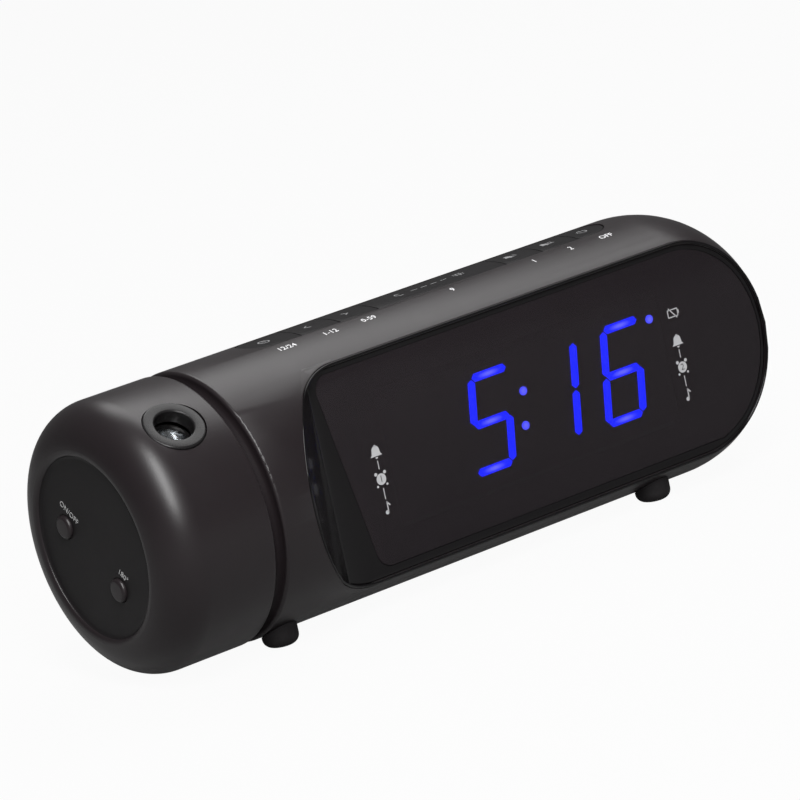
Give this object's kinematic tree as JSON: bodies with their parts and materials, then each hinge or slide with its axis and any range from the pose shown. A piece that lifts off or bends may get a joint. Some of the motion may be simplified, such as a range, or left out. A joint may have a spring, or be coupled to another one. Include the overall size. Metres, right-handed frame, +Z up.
{
  "type": "projection alarm clock",
  "caption": "Tube-shaped alarm clock with a flat slanting-ended display, a row of top keys and a turning projector head at one end.",
  "frame": {"origin": "centre of the footprint on the table, under the middle of the whole length", "axes": "+X along the tube, away from the projector head; -Y out of the display; +Z up"},
  "size_m": [0.195, 0.066, 0.0671],
  "materials": {
    "housing_plastic": "satin, fine grain",
    "bezel_plastic": "high gloss",
    "window_acrylic": "smoked, high gloss",
    "digit_light": "lit blue",
    "module_plastic": "matt black",
    "key_plastic": "satin",
    "circuit_board": "solder mask",
    "switch_plastic": "matt",
    "screw_steel": "plated",
    "spring_steel": "plated",
    "cell_steel": "satin",
    "foot_rubber": "matt",
    "speaker_steel": "black",
    "speaker_paper": "matt",
    "inlet_plastic": "matt",
    "friction_felt": "felt",
    "cable_sleeve": "satin",
    "ring_plastic": "satin",
    "lens_glass": "clear",
    "film_glass": "clear",
    "lamp_resin": "clear"
  },
  "bodies": {
    "clock_body": {"main_housing": "housing_plastic", "rear_cover": "housing_plastic", "display_bezel": "bezel_plastic", "display_window": "window_acrylic", "digit_module": "module_plastic", "digit_segments": "digit_light", "display_board": "circuit_board", "display_screws": "screw_steel", "key_board": "circuit_board", "key_switches": "switch_plastic", "key_board_screws": "screw_steel", "cover_screws": "screw_steel", "battery_door": "housing_plastic", "battery_door_screw": "screw_steel", "cell_contact": "spring_steel", "coin_cell": "cell_steel", "main_board": "circuit_board", "main_board_screws": "screw_steel", "cable_header": "switch_plastic", "control_chip": "switch_plastic", "clock_crystal": "cell_steel", "smoothing_capacitor": "speaker_steel", "speaker_basket": "speaker_steel", "speaker_magnet": "speaker_steel", "speaker_cone": "speaker_paper", "power_inlet": "inlet_plastic", "power_inlet_pin": "spring_steel", "foot_front_left": "foot_rubber", "foot_front_right": "foot_rubber", "foot_rear_left": "foot_rubber", "foot_rear_right": "foot_rubber"},
    "projector_head": {"head_shell": "housing_plastic", "head_end_cap": "housing_plastic", "head_board": "circuit_board", "head_switches": "switch_plastic", "spindle_plate": "housing_plastic", "friction_washer": "friction_felt", "retaining_clip": "spring_steel", "head_cable": "cable_sleeve", "projector_tube": "housing_plastic", "time_film": "film_glass", "condenser_lens": "lens_glass", "projector_board": "circuit_board", "projector_lamp": "lamp_resin"},
    "focus_control": {"focus_ring": "ring_plastic"},
    "lens_cell": {"lens_barrel": "ring_plastic", "projection_lens": "lens_glass"},
    "projection_push": {"projection_button": "key_plastic"},
    "flip_push": {"flip_button": "key_plastic"},
    "clock_key": {"key_clock": "key_plastic"},
    "hour_key": {"key_hour": "key_plastic"},
    "minute_key": {"key_minute": "key_plastic"},
    "snooze_key": {"key_snooze": "key_plastic"},
    "alarm_one_key": {"key_alarm_one": "key_plastic"},
    "alarm_two_key": {"key_alarm_two": "key_plastic"},
    "alarm_off_key": {"key_alarm_off": "key_plastic"}
  },
  "joints": [
    {"name": "head_turn", "type": "hinge", "parent": "clock_body", "child": "projector_head", "pos_m": [-0.07, 0, 0.0341], "axis": [1, 0, 0], "range_deg": [-128.5, 51.5]},
    {"name": "focus_turn", "type": "hinge", "parent": "projector_head", "child": "focus_control", "pos_m": [-0.081, 0, 0.0341], "axis": [0, -0.6225, 0.7826], "range_deg": [-120, 120]},
    {"name": "lens_slide", "type": "slide", "parent": "projector_head", "child": "lens_cell", "axis": [0, -0.6225, 0.7826], "range_m": [-0.00079, 0.00079]},
    {"name": "projection_press", "type": "slide", "parent": "projector_head", "child": "projection_push", "axis": [1, 0, 0], "range_m": [0, 0.0007], "stiffness_N_per_m": 400, "springref_m": -0.0005},
    {"name": "flip_press", "type": "slide", "parent": "projector_head", "child": "flip_push", "axis": [1, 0, 0], "range_m": [0, 0.0007], "stiffness_N_per_m": 400, "springref_m": -0.0005},
    {"name": "clock_press", "type": "slide", "parent": "clock_body", "child": "clock_key", "axis": [0, 0, -1], "range_m": [0, 0.0008], "stiffness_N_per_m": 400, "springref_m": -0.0005},
    {"name": "hour_press", "type": "slide", "parent": "clock_body", "child": "hour_key", "axis": [0, 0, -1], "range_m": [0, 0.0008], "stiffness_N_per_m": 400, "springref_m": -0.0005},
    {"name": "minute_press", "type": "slide", "parent": "clock_body", "child": "minute_key", "axis": [0, 0, -1], "range_m": [0, 0.0008], "stiffness_N_per_m": 400, "springref_m": -0.0005},
    {"name": "snooze_press", "type": "slide", "parent": "clock_body", "child": "snooze_key", "axis": [0, 0, -1], "range_m": [0, 0.0008], "stiffness_N_per_m": 400, "springref_m": -0.0005},
    {"name": "alarm_one_press", "type": "slide", "parent": "clock_body", "child": "alarm_one_key", "axis": [0, 0, -1], "range_m": [0, 0.0008], "stiffness_N_per_m": 400, "springref_m": -0.0005},
    {"name": "alarm_two_press", "type": "slide", "parent": "clock_body", "child": "alarm_two_key", "axis": [0, 0, -1], "range_m": [0, 0.0008], "stiffness_N_per_m": 400, "springref_m": -0.0005},
    {"name": "alarm_off_press", "type": "slide", "parent": "clock_body", "child": "alarm_off_key", "axis": [0, 0, -1], "range_m": [0, 0.0008], "stiffness_N_per_m": 400, "springref_m": -0.0005}
  ],
  "couplings": [
    {"joint": "focus_turn", "follows": "lens_slide", "rad_per_m": 2650}
  ]
}
